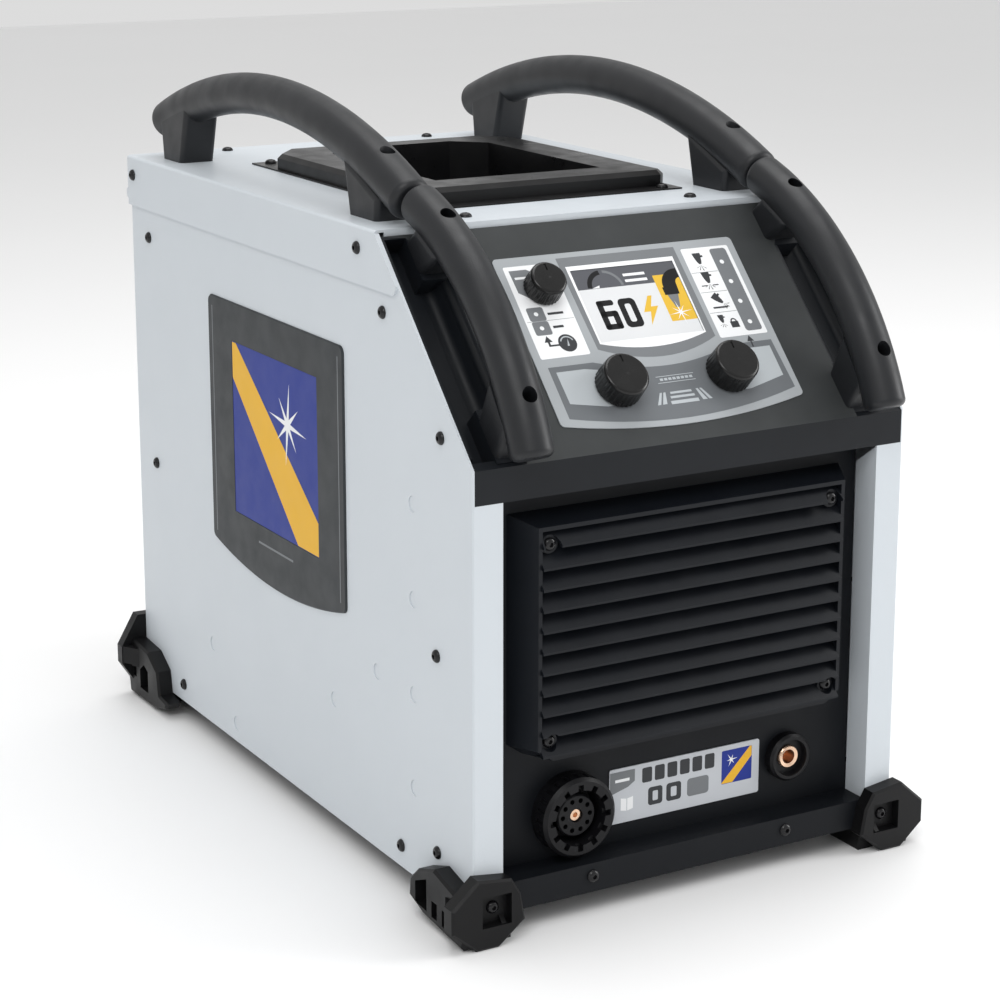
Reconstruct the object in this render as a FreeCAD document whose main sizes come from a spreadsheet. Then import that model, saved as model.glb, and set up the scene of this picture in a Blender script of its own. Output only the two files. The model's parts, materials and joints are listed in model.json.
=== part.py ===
import FreeCAD, Part
import math
import os
import Sketcher
from FreeCAD import Placement, Rotation, Vector

# Portable inverter plasma cutter. Sizes are in millimetres.
# The shapes are drawn in the case frame: x is across with 0 in the middle, y runs back from
# the front plane of the case, and z runs up from the bottom edge of the side panels. Every
# sub-part's Placement then carries it to the part's own frame, whose origin is the middle of
# the footprint at floor level, with +Z up and the front facing -Y.

doc = FreeCAD.newDocument("plasma_cutter")
table = doc.addObject("Spreadsheet::Sheet", "dims")

DRIVING = {
    "case_width": 298,
    "case_depth": 490,
    "case_top": 380,
    "front_height": 264,
    "lip_height": 20,
    "slant_run": 113.5,
    "slant_rise": 117.5,
    "sheet": 1.5,
    "skin": 3,
    "skirt_bottom": 347,
    "post_width": 19.5,
    "panel_setback": 20,
    "ledge_height": 18,
    "foot_drop": 15,
    "foot_reach": 10,
    "flank_reach": 11,
    "front_reach": 28.2,
    "rear_reach": 25,
    "fascia_half": 114,
    "channel_depth": 14,
    "handle_middle": 123,
    "handle_radius": 13.4,
    "bar_middle": 121,
    "bar_radius": 12.6,
    "label_half": 84,
    "label_top": 135,
    "label_thick": 0.6,
    "window_half": 36,
    "window_low": 71,
    "window_high": 122,
    "knob_offset": 38.4,
    "knob_along": 40.5,
    "knob_radius": 14.5,
    "knob_height": 15,
    "air_offset": 60,
    "air_along": 111,
    "air_radius": 11.75,
    "air_height": 13,
    "shaft_radius": 3,
    "run_gap": 0.05,
    "grille_half": 106.5,
    "grille_low": 86.5,
    "grille_high": 226,
    "blade_pitch": 12.4,
    "torch_across": 74.4,
    "torch_up": 45,
    "torch_radius": 24.5,
    "earth_across": 82,
    "earth_up": 49.5,
    "earth_radius": 15,
    "earth_bore": 4.5,
    "tray_half": 92,
    "tray_front": 175,
    "tray_back": 390,
    "tray_rise": 11,
    "well_half": 60,
    "well_front": 205,
    "well_back": 370,
    "well_floor": 355,
    "screw_radius": 3.9,
    "screw_shank": 1.9,
    "fan_across": 62,
    "fan_up": 200,
    "fan_half": 60,
    "gland_bore": 6.5,
    "inlet_radius": 5,
}


class Size:
    """A number that remembers the spreadsheet expression it came from."""

    def __init__(self, value, text):
        self.value = value
        self.text = text

    def __add__(self, other):
        return Size(self.value + number(other), f"({self.text} + {text(other)})")

    def __radd__(self, other):
        return Size(number(other) + self.value, f"({text(other)} + {self.text})")

    def __sub__(self, other):
        return Size(self.value - number(other), f"({self.text} - {text(other)})")

    def __rsub__(self, other):
        return Size(number(other) - self.value, f"({text(other)} - {self.text})")

    def __mul__(self, other):
        return Size(self.value * number(other), f"({self.text} * {text(other)})")

    def __rmul__(self, other):
        return Size(number(other) * self.value, f"({text(other)} * {self.text})")

    def __truediv__(self, other):
        return Size(self.value / number(other), f"({self.text} / {text(other)})")

    def __neg__(self):
        return Size(-self.value, f"(0 - {self.text})")


def number(size):
    return size.value if isinstance(size, Size) else float(size)


def text(size):
    return size.text if isinstance(size, Size) else f"{float(size):.6f}"


def fill_table():
    """Write the driving dimensions into the spreadsheet and return them as sizes."""
    sizes = {}
    for row, (alias, value) in enumerate(DRIVING.items(), start=1):
        table.set(f"A{row}", alias)
        table.set(f"B{row}", str(value))
        table.setAlias(f"B{row}", alias)
        sizes[alias] = Size(float(value), f"dims.{alias}")
    doc.recompute()
    return sizes


d = fill_table()
half_width = d["case_width"] / 2
depth = d["case_depth"]
sheet = d["sheet"]
inner_half = half_width - sheet
middle_y = (depth + d["rear_reach"] - d["front_reach"]) / 2
slant_length = Size(
    math.hypot(d["slant_run"].value, d["slant_rise"].value),
    "sqrt(dims.slant_run ^ 2 + dims.slant_rise ^ 2)",
)
slant_cos = d["slant_run"] / slant_length
slant_sin = d["slant_rise"] / slant_length
slant_angle = Size(
    math.degrees(math.atan2(d["slant_rise"].value, d["slant_run"].value)),
    "atan(dims.slant_rise / dims.slant_run)",
)
lip_bottom = d["front_height"] - d["lip_height"]
roof = d["case_top"] + sheet

parts = []


# --- helpers -------------------------------------------------------------------------------


def bind(item, path, size):
    """Bind one property of a document object to a size."""
    if isinstance(size, Size):
        item.setExpression(path, size.text)


def place(item, base, angle=None, axis=Vector(1, 0, 0)):
    """Move a shape by a base point of sizes and an optional turn about an axis."""
    turn = Rotation(axis, number(angle)) if angle is not None else Rotation()
    item.Placement = Placement(Vector(*[number(value) for value in base]), turn)
    for letter, value in zip("xyz", base):
        bind(item, f"Placement.Base.{letter}", value)
    if isinstance(angle, Size):
        item.setExpression("Placement.Rotation.Angle", angle.text)


def keep(item, label):
    """Register a sub-part drawn in the case frame."""
    item.Label = label
    place(item, (0, -middle_y, d["foot_drop"]))
    parts.append(item)
    return item


def keep_on_slant(item, label, across=0, along=0):
    """Register a sub-part drawn on the slanted face: x across, y up the slope, z outward."""
    item.Label = label
    base = (
        across,
        along * slant_cos - middle_y,
        along * slant_sin + d["front_height"] + d["foot_drop"],
    )
    place(item, base, slant_angle)
    parts.append(item)
    return item


def on_slant(y, z):
    """Turn a case point (y, z) into slanted-face coordinates (along, outward)."""
    rise = z - d["front_height"]
    return (y * slant_cos + rise * slant_sin, rise * slant_cos - y * slant_sin)


PLANES = {"x": "YZ_Plane", "y": "XZ_Plane", "z": "XY_Plane"}


def new_sketch(body, axis, offset):
    """Add a sketch square to an axis of the body. On the x, y and z axes it is drawn in
    (y, z), (x, z) and (x, y). The offset is the plane's coordinate on that axis."""
    origin = [plane for plane in body.Origin.OriginFeatures if plane.Role == PLANES[axis]][0]
    sketch = body.newObject("Sketcher::SketchObject", f"{body.Name}_outline")
    sketch.AttachmentSupport = [(origin, "")]
    sketch.MapMode = "FlatFace"
    lift = -offset if axis == "y" else offset
    sketch.AttachmentOffset = Placement(Vector(0, 0, number(lift)), Rotation())
    bind(sketch, "AttachmentOffset.Base.z", lift)
    return sketch


class Bend:
    """An arc step of an outline: through one point, to an end point."""

    def __init__(self, through, end):
        self.through = through
        self.end = end


def point(pair):
    return Vector(number(pair[0]), number(pair[1]), 0)


def pin_down(sketch, geometry, which, pair):
    """Fix one vertex of the sketch at a pair of sizes."""
    for kind, value in zip(("DistanceX", "DistanceY"), pair):
        row = sketch.addConstraint(
            Sketcher.Constraint(kind, -1, 1, geometry, which, number(value)))
        bind(sketch, f"Constraints[{row}]", value)


def draw(sketch, steps):
    """Draw a closed outline of corners and bends, fully constrained."""
    corner = steps[0]
    runs = []
    for step in list(steps[1:]) + [steps[0]]:
        end = step.end if isinstance(step, Bend) else step
        start_point = point(corner)
        end_point = point(end)
        if start_point.distanceToPoint(end_point) < 1e-6:
            continue
        if isinstance(step, Bend):
            arc = Part.Arc(start_point, point(step.through), end_point)
            row = sketch.addGeometry(arc, False)
            radius = arc.toShape().Curve.Radius
            sketch.addConstraint(Sketcher.Constraint("Radius", row, radius))
        else:
            row = sketch.addGeometry(Part.LineSegment(start_point, end_point), False)
        forward = sketch.getPoint(row, 1).distanceToPoint(start_point) < 1e-4
        runs.append((row, 1 if forward else 2, 2 if forward else 1, corner))
        corner = end
    for index, (row, start, end, corner) in enumerate(runs):
        following = runs[(index + 1) % len(runs)]
        sketch.addConstraint(Sketcher.Constraint("Coincident", row, end, following[0], following[1]))
        pin_down(sketch, row, start, corner)


def ring(sketch, centre, radius):
    """Draw a circle at a pair of sizes."""
    row = sketch.addGeometry(Part.Circle(point(centre), Vector(0, 0, 1), number(radius)), False)
    pin_down(sketch, row, 3, centre)
    rule = sketch.addConstraint(Sketcher.Constraint("Radius", row, number(radius)))
    bind(sketch, f"Constraints[{rule}]", radius)


def new_body(name):
    return doc.addObject("PartDesign::Body", name)


def rectangle(low, high):
    return [(low[0], low[1]), (high[0], low[1]), (high[0], high[1]), (low[0], high[1])]


def draw_all(sketch, outlines, circles):
    for steps in outlines:
        draw(sketch, steps)
    for centre, radius in circles:
        ring(sketch, centre, radius)


def add(body, axis, low, high, outlines=(), circles=()):
    """Pad outlines from one coordinate of an axis to a higher one."""
    sketch = new_sketch(body, axis, high if axis == "y" else low)
    draw_all(sketch, outlines, circles)
    feature = body.newObject("PartDesign::Pad", f"{body.Name}_pad")
    feature.Profile = sketch
    feature.Length = number(high) - number(low)
    bind(feature, "Length", high - low)
    doc.recompute()
    return feature


def remove(body, axis, low, high, outlines=(), circles=()):
    """Pocket outlines between two coordinates of an axis, and check that it cut."""
    before = body.Shape.Volume
    sketch = new_sketch(body, axis, low if axis == "y" else high)
    draw_all(sketch, outlines, circles)
    feature = body.newObject("PartDesign::Pocket", f"{body.Name}_pocket")
    feature.Profile = sketch
    feature.Length = number(high) - number(low)
    bind(feature, "Length", high - low)
    doc.recompute()
    assert body.Shape.Volume < before - 1e-3, f"{body.Name}: a pocket cut nothing"
    return feature


def spin(body, axis_role, plane_axis, steps):
    """Revolve an outline about an origin axis of the body."""
    sketch = new_sketch(body, plane_axis, 0)
    draw(sketch, steps)
    axis = [line for line in body.Origin.OriginFeatures if line.Role == axis_role][0]
    feature = body.newObject("PartDesign::Revolution", f"{body.Name}_turned")
    feature.Profile = sketch
    feature.ReferenceAxis = (axis, [""])
    feature.Angle = 360
    doc.recompute()
    return feature


def bend_tube(body, across, radius, centre, sweep, front, back):
    """A round tube along an arc of radius sweep about a centre given in (y, z), from the y
    coordinate of its front end to that of its back end."""
    sketch = new_sketch(body, "y", centre[0])
    ring(sketch, (across, centre[1] + sweep), radius)
    height = number(centre[1])
    line = Part.LineSegment(Vector(-10, height, 0), Vector(10, height, 0))
    row = sketch.addGeometry(line, True)
    pin_down(sketch, row, 1, (-10, centre[1]))
    pin_down(sketch, row, 2, (10, centre[1]))
    feature = body.newObject("PartDesign::Revolution", f"{body.Name}_tube")
    feature.Profile = sketch
    feature.ReferenceAxis = (sketch, ["Axis0"])
    feature.Type = "TwoAngles"
    feature.Angle = math.degrees(math.asin((centre[0] - front) / sweep))
    feature.Angle2 = math.degrees(math.asin((back - centre[0]) / sweep))
    doc.recompute()
    return feature


def around(body, feature, axis_role, count):
    """Repeat a feature in a full circle about an origin axis."""
    axis = [line for line in body.Origin.OriginFeatures if line.Role == axis_role][0]
    pattern = body.newObject("PartDesign::PolarPattern", f"{body.Name}_around")
    pattern.Originals = [feature]
    pattern.Axis = (axis, [""])
    pattern.Angle = 360
    pattern.Occurrences = count
    body.Tip = pattern
    doc.recompute()
    return pattern


def soften(body, radius, wanted, kind="Fillet"):
    """Round or chamfer every edge of the body's last feature that the test accepts."""
    base = body.Tip
    names = [f"Edge{row}" for row, edge in enumerate(base.Shape.Edges, start=1) if wanted(edge)]
    assert names, f"{body.Name}: no edge to soften"
    feature = body.newObject(f"PartDesign::{kind}", f"{body.Name}_{kind.lower()}")
    feature.Base = (base, names)
    if kind == "Fillet":
        feature.Radius = radius
    else:
        feature.Size = radius
    doc.recompute()
    return feature


def runs_along(edge, letter):
    """True for a straight edge parallel to an axis."""
    if not isinstance(edge.Curve, (Part.Line, Part.LineSegment)):
        return False
    direction = edge.tangentAt(edge.FirstParameter)
    return abs(abs(getattr(direction, letter)) - 1) < 1e-6


def lies_at(edge, letter, value):
    """True for an edge that lies in the plane where an axis has a value."""
    box = edge.BoundBox
    low = getattr(box, f"{letter.upper()}Min")
    high = getattr(box, f"{letter.upper()}Max")
    return abs(low - value) < 1e-4 and abs(high - value) < 1e-4


def span(side, near, far):
    """Order a range of distances from the middle for the left (-1) or right (1) side."""
    return (near, far) if side > 0 else (-far, -near)


def hand(side):
    return "right" if side > 0 else "left"


# --- sheet-metal case ------------------------------------------------------------------------

BASE_SCREW_ACROSS = 69
BASE_SCREW_UP = 10
SCREW_HOLE = 2.2


def make_base_tray():
    body = new_body("base_tray")
    rail_half = half_width - d["post_width"] - 0.3
    channel = [
        (0, 0), (depth, 0), (depth, d["ledge_height"]), (depth - sheet, d["ledge_height"]),
        (depth - sheet, sheet), (sheet, sheet), (sheet, d["ledge_height"] - sheet),
        (0, d["ledge_height"] - sheet),
    ]
    add(body, "x", -rail_half, rail_half, [channel])
    floor = rectangle((-inner_half, sheet), (inner_half, depth - sheet))
    add(body, "z", 0, sheet, [floor])
    holes = [((side * BASE_SCREW_ACROSS, BASE_SCREW_UP), SCREW_HOLE) for side in (-1, 1)]
    remove(body, "y", 0, sheet, circles=holes)
    slots = [rectangle((-90, 120 + 24 * row), (-30, 130 + 24 * row)) for row in range(8)]
    remove(body, "z", 0, sheet, slots)
    return keep(body, "base_tray")


SIDE_SCREWS = [(459, 327.5), (105, 335), (457, 166.6), (35.6, 275.5), (42, 146), (42, 26),
               (87.4, 13.7), (419, 13)]
SIDE_DIMPLES = [(70, 229), (70, 172), (70, 114), (70, 56), (117, 114), (176, 78), (365, 59),
                (328, 13)]


def make_side_panel(side):
    body = new_body(f"{hand(side)}_side_panel")
    top = d["case_top"] - 0.2
    lean = d["slant_run"] / d["slant_rise"]
    outline = [
        (0, 0), (depth, 0), (depth, top), ((top - d["front_height"]) * lean, top),
        (0, d["front_height"]),
    ]
    low, high = span(side, inner_half, half_width)
    add(body, "x", low, high, [outline])
    low, high = span(side, half_width - d["post_width"], half_width - sheet / 2)
    add(body, "y", 0, sheet, [rectangle((low, 0), (high, lip_bottom))])
    add(body, "y", depth - sheet, depth, [rectangle((low, 0), (high, d["skirt_bottom"]))])
    low, high = span(side, half_width - d["post_width"], half_width - d["post_width"] + sheet)
    back = d["panel_setback"] - 0.5
    inner = [(0, sheet), (back, sheet), (back, lip_bottom - 14), (0, lip_bottom)]
    add(body, "x", low, high, [inner])
    low, high = span(side, inner_half, half_width)
    remove(body, "x", low, high, circles=[(spot, SCREW_HOLE) for spot in SIDE_SCREWS])
    low, high = span(side, half_width - 0.6, half_width)
    remove(body, "x", low, high, circles=[(spot, 5) for spot in SIDE_DIMPLES])
    edge = side * half_width.value
    soften(body, 1.4, lambda item: runs_along(item, "z") and lies_at(item, "x", edge))
    return keep(body, f"{hand(side)}_side_panel")


COVER_FRONT = 112
COVER_SCREWS = [(-80, 131), (80, 131), (-80, 478), (80, 478)]
SKIRT_SCREWS = [(481.5, 368.5), (134, 368.5)]


def make_top_cover():
    body = new_body("top_cover")
    outer = half_width + sheet
    top = d["case_top"]
    plate = rectangle((-outer, COVER_FRONT), (outer, depth + sheet))
    add(body, "z", top, roof, [plate])
    skirt_low = d["skirt_bottom"]
    lean = d["slant_run"] / d["slant_rise"]
    nose = (skirt_low + 6 - d["front_height"]) * lean
    skirt = [
        (depth + sheet, top), (COVER_FRONT, top), (nose, skirt_low + 6),
        Bend((nose + 1.5, skirt_low + 1.6), (nose + 6, skirt_low)), (depth + sheet, skirt_low),
    ]
    for side in (-1, 1):
        low, high = span(side, half_width, outer)
        add(body, "x", low, high, [skirt])
    bead = [
        (depth, top), (depth, skirt_low + 4), (depth + sheet, skirt_low + 4),
        Bend((depth + 4.5, skirt_low + 8), (depth + sheet, skirt_low + 12)),
        (depth + sheet, top),
    ]
    add(body, "x", -outer, outer, [bead])
    lip = [(COVER_FRONT, roof), (COVER_FRONT, top - 3), (COVER_FRONT + 1.5, top - 3),
           (COVER_FRONT + 1.5, roof)]
    add(body, "x", -half_width + 5, half_width - 5, [lip])
    margin = 3.5
    opening = rectangle((-d["well_half"] - margin, d["well_front"] - margin),
                        (d["well_half"] + margin, d["well_back"] + margin))
    holes = [(spot, SCREW_HOLE) for spot in COVER_SCREWS + TRAY_SCREWS]
    remove(body, "z", top, roof, [opening], holes)
    for side in (-1, 1):
        low, high = span(side, half_width, outer)
        remove(body, "x", low, high, circles=[(spot, SCREW_HOLE) for spot in SKIRT_SCREWS])
    edge = outer.value
    height = roof.value
    soften(body, 2.2, lambda item: (runs_along(item, "y") and lies_at(item, "z", height)
                                    and abs(item.BoundBox.XMin) > edge - 0.01))
    return keep(body, "top_cover")


SWITCH_AT = (-85, 285)
GLAND_AT = (-85, 70)
INLET_AT = (-85, 140)
REAR_SCREWS = [(-120, 330), (120, 330), (-112, 30), (112, 30)]


def make_rear_panel():
    body = new_body("rear_panel")
    outline = rectangle((-inner_half, sheet), (inner_half, d["skirt_bottom"] - 2))
    add(body, "y", depth - 2 * sheet, depth - sheet, [outline])
    openings = [
        ((d["fan_across"], d["fan_up"]), d["fan_half"] - 4),
        (SWITCH_AT, 16), (GLAND_AT, 12.2), (INLET_AT, 8.2),
    ]
    openings += [(spot, SCREW_HOLE) for spot in REAR_SCREWS]
    remove(body, "y", depth - 2 * sheet, depth - sheet, circles=openings)
    slots = [rectangle((10 + 14 * row, 60), (17 + 14 * row, 110)) for row in range(8)]
    remove(body, "y", depth - 2 * sheet, depth - sheet, slots)
    return keep(body, "rear_panel")


# --- slanted control fascia ------------------------------------------------------------------

KNOBS = {
    "current": (-d["knob_offset"], d["knob_along"], d["knob_radius"], d["knob_height"]),
    "mode": (d["knob_offset"], d["knob_along"], d["knob_radius"], d["knob_height"]),
    "air": (-d["air_offset"], d["air_along"], d["air_radius"], d["air_height"]),
}


def knob_holes(radius):
    return [((across, along), radius) for across, along, _, _ in KNOBS.values()]


BAR_BOSSES = [(3, 38), (126, 156)]


def make_control_bezel():
    body = new_body("control_bezel")
    skin = d["skin"]
    edge = inner_half - 0.1
    top = slant_length - 5
    deep = -d["channel_depth"]
    fascia = [
        on_slant(0, lip_bottom), on_slant(skin, lip_bottom), on_slant(skin, lip_bottom + 15),
        (8, -skin), (top, -skin), (top, 0), (0, 0),
    ]
    add(body, "x", -d["fascia_half"], d["fascia_half"], [fascia])
    lip = [
        on_slant(0, lip_bottom), on_slant(d["panel_setback"], lip_bottom),
        on_slant(d["panel_setback"], lip_bottom + 2.5), on_slant(skin, lip_bottom + 2.5),
        on_slant(skin, lip_bottom + 15), (6, -2), (0, 0),
    ]
    add(body, "x", -edge, edge, [lip])
    low_wall = [
        on_slant(skin - 0.5, lip_bottom + 2), on_slant(skin + 8, lip_bottom + 2),
        (14, deep - 1.6), (14, deep), (9, deep), (5, -2), (3, -1.5),
    ]
    top_wall = rectangle((top - 2.5, deep - 1.6), (top, 0))
    for side in (-1, 1):
        inner = side * (d["fascia_half"] - 2)
        rim = side * d["fascia_half"]
        wall = side * edge
        trough = [
            (inner, 0), (rim, 0), Bend((rim + side * 3.2, -1.6), (rim + side * 4.8, -5)),
            (rim + side * 7, deep + 3.5), Bend((rim + side * 9.6, deep + 0.7), (rim + side * 14, deep)),
            (wall - side * 11, deep), Bend((wall - side * 5.4, deep + 1.4), (wall - side * 3, -8)),
            (wall - side * 1.6, 0), (wall, 0), (wall, deep - 1.6), (rim + side * 5, deep - 1.6),
            (inner, -3),
        ]
        add(body, "y", 8, top, [trough])
        low, high = span(side, d["fascia_half"] - 1, edge)
        add(body, "x", low, high, [low_wall])
        add(body, "x", low, high, [top_wall])
        low, high = span(side, d["fascia_half"] - 1, d["bar_middle"] + 11)
        for start, end in BAR_BOSSES:
            add(body, "x", low, high, [rectangle((start, deep - 1), (end, 0))])
    window = rectangle((-d["window_half"], d["window_low"]), (d["window_half"], d["window_high"]))
    remove(body, "z", -skin, 0, [window], knob_holes(5))
    return keep_on_slant(body, "control_bezel")


def make_control_label():
    body = new_body("control_label")
    half = d["label_half"]
    outline = [(-half, d["label_top"]), (-half, 20), Bend((0, 11), (half, 20)),
               (half, d["label_top"])]
    add(body, "z", 0, d["label_thick"], [outline])
    soften(body, 3, lambda item: runs_along(item, "z"))
    window = rectangle((-d["window_half"], d["window_low"]), (d["window_half"], d["window_high"]))
    remove(body, "z", 0, d["label_thick"], [window], knob_holes(5))
    return keep_on_slant(body, "control_label")


def make_display():
    pane = new_body("display_window")
    low = (-d["window_half"] + 0.1, d["window_low"] + 0.1)
    high = (d["window_half"] - 0.1, d["window_high"] - 0.1)
    add(pane, "z", -d["skin"], 0.3, [rectangle(low, high)])
    keep_on_slant(pane, "display_window")
    module = new_body("display_module")
    back = -d["skin"] - 7
    low = (-d["window_half"] - 3, d["window_low"] - 3)
    high = (d["window_half"] + 3, d["window_high"] + 3)
    add(module, "z", back, -d["skin"], [rectangle(low, high)])
    keep_on_slant(module, "display_module")
    board = new_body("control_board")
    outline = rectangle((-80, 26), (80, 130))
    add(board, "z", back - 1.6, back, [outline])
    remove(board, "z", back - 1.6, back, circles=knob_holes(4))
    keep_on_slant(board, "control_board")


def make_knob(name, across, along, radius, height):
    """A ribbed knob on a turned shaft, which runs in its own encoder behind the fascia."""
    lift = d["label_thick"] + 0.5
    knob = new_body(f"knob_{name}")
    profile = [
        (d["shaft_radius"], lift), (radius - 1, lift), (radius, lift + 1),
        (radius - 0.4, lift + height - 2), Bend((radius - 1, lift + height - 0.6),
                                                (radius - 2.4, lift + height)),
        (0, lift + height + 0.3), (0, lift + height - 3),
        (d["shaft_radius"], lift + height - 3),
    ]
    spin(knob, "Z_Axis", "y", profile)
    flute = remove(knob, "z", lift - 0.5, lift + height - 2.2,
                   circles=[((radius + 0.35, 0), 1)])
    around(knob, flute, "Z_Axis", 30)
    pointer = rectangle((-0.7, radius - 7), (0.7, radius - 2.6))
    remove(knob, "z", lift + height - 0.5, lift + height + 1, [pointer])
    keep_on_slant(knob, f"knob_{name}", across, along)
    back = -d["skin"] - 6.5
    shaft = new_body(f"shaft_{name}")
    add(shaft, "z", back, lift + height - 3, circles=[((0, 0), d["shaft_radius"])])
    keep_on_slant(shaft, f"shaft_{name}", across, along)
    encoder = new_body(f"encoder_{name}")
    add(encoder, "z", -d["skin"] - 7, -d["skin"], [rectangle((-7, -7), (7, 7))])
    remove(encoder, "z", back - 0.1, -d["skin"],
           circles=[((0, 0), d["shaft_radius"] + d["run_gap"])])
    keep_on_slant(encoder, f"encoder_{name}", across, along)


# --- front face ------------------------------------------------------------------------------


def make_front_panel():
    body = new_body("front_panel")
    half = half_width - d["post_width"] - 0.3
    front = d["panel_setback"]
    low = d["ledge_height"] - sheet
    profile = [
        (0, low), (front + sheet, low), (front + sheet, lip_bottom - 0.2),
        (front, lip_bottom - 0.2), (front, low + sheet), (0, low + sheet),
    ]
    add(body, "x", -half, half, [profile])
    holes = [
        ((-d["torch_across"], d["torch_up"]), d["torch_radius"] - 5),
        ((d["earth_across"], d["earth_up"]), d["earth_radius"] - 4),
    ]
    window = rectangle((-98, d["grille_low"] + 10), (98, d["grille_high"] - 10))
    remove(body, "y", front, front + sheet, [window], holes)
    return keep(body, "front_panel")


GRILLE_SEAT = 3
GRILLE_BLADES = 11
GRILLE_SCREWS = [(side * 98, up) for side in (-1, 1) for up in (98, 215)]


def make_grille():
    body = new_body("louvre_grille")
    back = d["panel_setback"]
    half = d["grille_half"]
    low = d["grille_low"]
    high = d["grille_high"]
    flare = 9.5
    sections = []
    for offset, spread in ((back, flare), (0, 0)):
        sketch = new_sketch(body, "y", offset)
        draw(sketch, [
            (-half - spread, low + 7), (-half - spread + 10, low), (half + spread - 10, low),
            (half + spread, low + 7), (half + spread, high + spread / 2),
            (-half - spread, high + spread / 2),
        ])
        sections.append(sketch)
    block = body.newObject("PartDesign::AdditiveLoft", "louvre_grille_block")
    block.Profile = sections[0]
    block.Sections = [sections[1]]
    block.Ruled = True
    doc.recompute()
    wall = 2.5
    inside = [rectangle((-half + wall, low + wall), (half - wall, high - wall))]
    remove(body, "y", 0, back, inside)
    blades = []
    for row in range(GRILLE_BLADES):
        z = low + 3 + d["blade_pitch"] * row
        blades.append([
            (-2.5, z), (-2.5, z + 1.3), (7.5, z + 11.4), (11, z + 11.4), (11, z + 10), (0, z),
        ])
    add(body, "x", -half + wall - 0.5, half - wall + 0.5, blades)
    seat = GRILLE_SEAT
    remove(body, "y", -3, seat, circles=[(spot, 5.5) for spot in GRILLE_SCREWS])
    add(body, "y", seat, back, circles=[(spot, 5.5) for spot in GRILLE_SCREWS])
    remove(body, "y", seat, seat + 8, circles=[(spot, SCREW_HOLE) for spot in GRILLE_SCREWS])
    return keep(body, "louvre_grille")


def turned(name, steps):
    """A turned piece whose axis runs front to back: outline in (radius, y)."""
    body = new_body(name)
    spin(body, "Y_Axis", "z", steps)
    return body


def keep_at(item, label, across, up):
    """Register a sub-part drawn about its own front-to-back axis."""
    item.Label = label
    place(item, (across, -middle_y, up + d["foot_drop"]))
    parts.append(item)
    return item


TORCH_CORE = 13
TORCH_WELL = 17


def make_torch_socket():
    at = (-d["torch_across"], d["torch_up"])
    outer = d["torch_radius"]
    face = 5
    panel = d["panel_setback"]
    shell = turned("torch_socket_shell", [
        (TORCH_WELL, face), (outer - 2, face), (outer, face + 2), (outer, panel),
        (outer - 5.3, panel), (outer - 5.3, 44), (TORCH_WELL, 44),
    ])
    notch = remove(shell, "y", face, face + 4,
                   [rectangle((-1.8, TORCH_WELL - 1), (1.8, TORCH_WELL + 3.5))])
    around(shell, notch, "Y_Axis", 12)
    flute = remove(shell, "y", face + 2, 15,
                   circles=[((outer + 0.6, 0), 1.6)])
    around(shell, flute, "Y_Axis", 24)
    keep_at(shell, "torch_socket_shell", *at)
    core = turned("torch_socket_insert", [
        (0, 10), (TORCH_CORE - 1, 10), (TORCH_CORE, 11), (TORCH_CORE, 22),
        (TORCH_WELL - 0.1, 22), (TORCH_WELL - 0.1, 42), (0, 42),
    ])
    remove(core, "y", 10, 18, circles=[((0, 0), 4.2)])
    pin_hole = remove(core, "y", 10, 18, circles=[((9.2, 0), 1.5)])
    around(core, pin_hole, "Y_Axis", 10)
    keep_at(core, "torch_socket_insert", *at)
    contact = turned("torch_socket_contact", [
        (1.6, 11.5), (3.4, 11.5), (4.1, 12.5), (4.1, 18), (0, 18), (0, 15), (1.6, 15),
    ])
    keep_at(contact, "torch_socket_contact", *at)


def make_earth_socket():
    at = (d["earth_across"], d["earth_up"])
    outer = d["earth_radius"]
    bore = d["earth_bore"]
    panel = d["panel_setback"]
    brass = 7.2
    recess = 17.5
    shell = turned("earth_socket_shell", [
        (brass, recess), (outer - 4, recess), (outer - 3.4, 13), (outer - 1.5, 13), (outer, 14.5),
        (outer, panel), (outer - 4.2, panel), (outer - 4.2, 40), (brass, 40),
    ])
    keep_at(shell, "earth_socket_shell", *at)
    contact = turned("earth_socket_contact", [
        (bore, 16), (brass - 0.6, 15.5), (brass, 16.2), (brass, 46), (0, 46), (0, 34),
        (bore, 34),
    ])
    keep_at(contact, "earth_socket_contact", *at)


def make_name_plate():
    body = new_body("name_plate")
    front = d["panel_setback"]
    add(body, "y", front - 0.8, front, [rectangle((-46, 29.5), (62, 64))])
    soften(body, 1.5, lambda item: runs_along(item, "y"))
    return keep(body, "name_plate")


BADGE_THICK = 1.4


def make_badge(side):
    plate = new_body(f"badge_{hand(side)}")
    outline = [(156, 305.5), (156, 139.5), Bend((256, 126.5), (356, 139.5)), (356, 305.5)]
    low, high = span(side, half_width, half_width + BADGE_THICK)
    add(plate, "x", low, high, [outline])
    soften(plate, 5, lambda item: runs_along(item, "x"))
    face = side * (half_width.value + BADGE_THICK)
    soften(plate, 0.8, lambda item: lies_at(item, "x", face), "Chamfer")
    low, high = span(side, half_width + BADGE_THICK - 0.8, half_width + BADGE_THICK)
    remove(plate, "x", low, high, [rectangle((192, 165), (318.5, 280))])
    keep(plate, f"badge_{hand(side)}")
    insert = new_body(f"badge_insert_{hand(side)}")
    low, high = span(side, half_width + BADGE_THICK - 0.8, half_width + BADGE_THICK - 0.2)
    add(insert, "x", low, high, [rectangle((192.2, 165.2), (318.3, 279.8))])
    keep(insert, f"badge_insert_{hand(side)}")


# --- handles, feet and tray ------------------------------------------------------------------


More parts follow.
